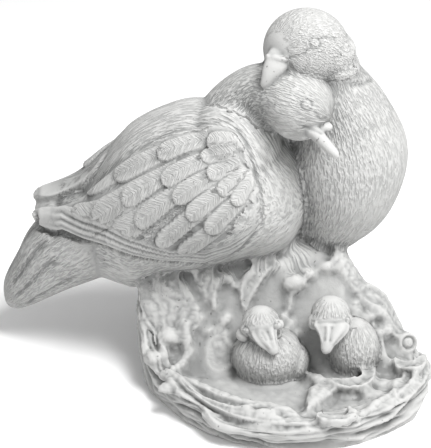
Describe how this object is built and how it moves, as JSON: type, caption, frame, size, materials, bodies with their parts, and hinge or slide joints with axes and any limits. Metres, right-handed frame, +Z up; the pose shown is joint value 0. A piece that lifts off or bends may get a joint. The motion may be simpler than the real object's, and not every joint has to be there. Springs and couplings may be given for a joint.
{
  "type": "dove statue",
  "caption": "Cast stone garden figure of a pair of nestling doves seated on a round leafy nest mound that holds chicks; stands on its flat underside.",
  "frame": {"origin": "middle of the figure's bounding box, on the ground it stands on", "axes": "+X to the right as seen from the front, from the lower bird's tail towards its breast; +Y to the back, away from the viewer; +Z up"},
  "size_m": [0.3134, 0.258, 0.2674],
  "materials": {
    "cast_stone": "matte, finely pitted light grey cast stone, paler on raised parts"
  },
  "bodies": {
    "root": {"dove_group": "cast_stone"}
  },
  "joints": []
}
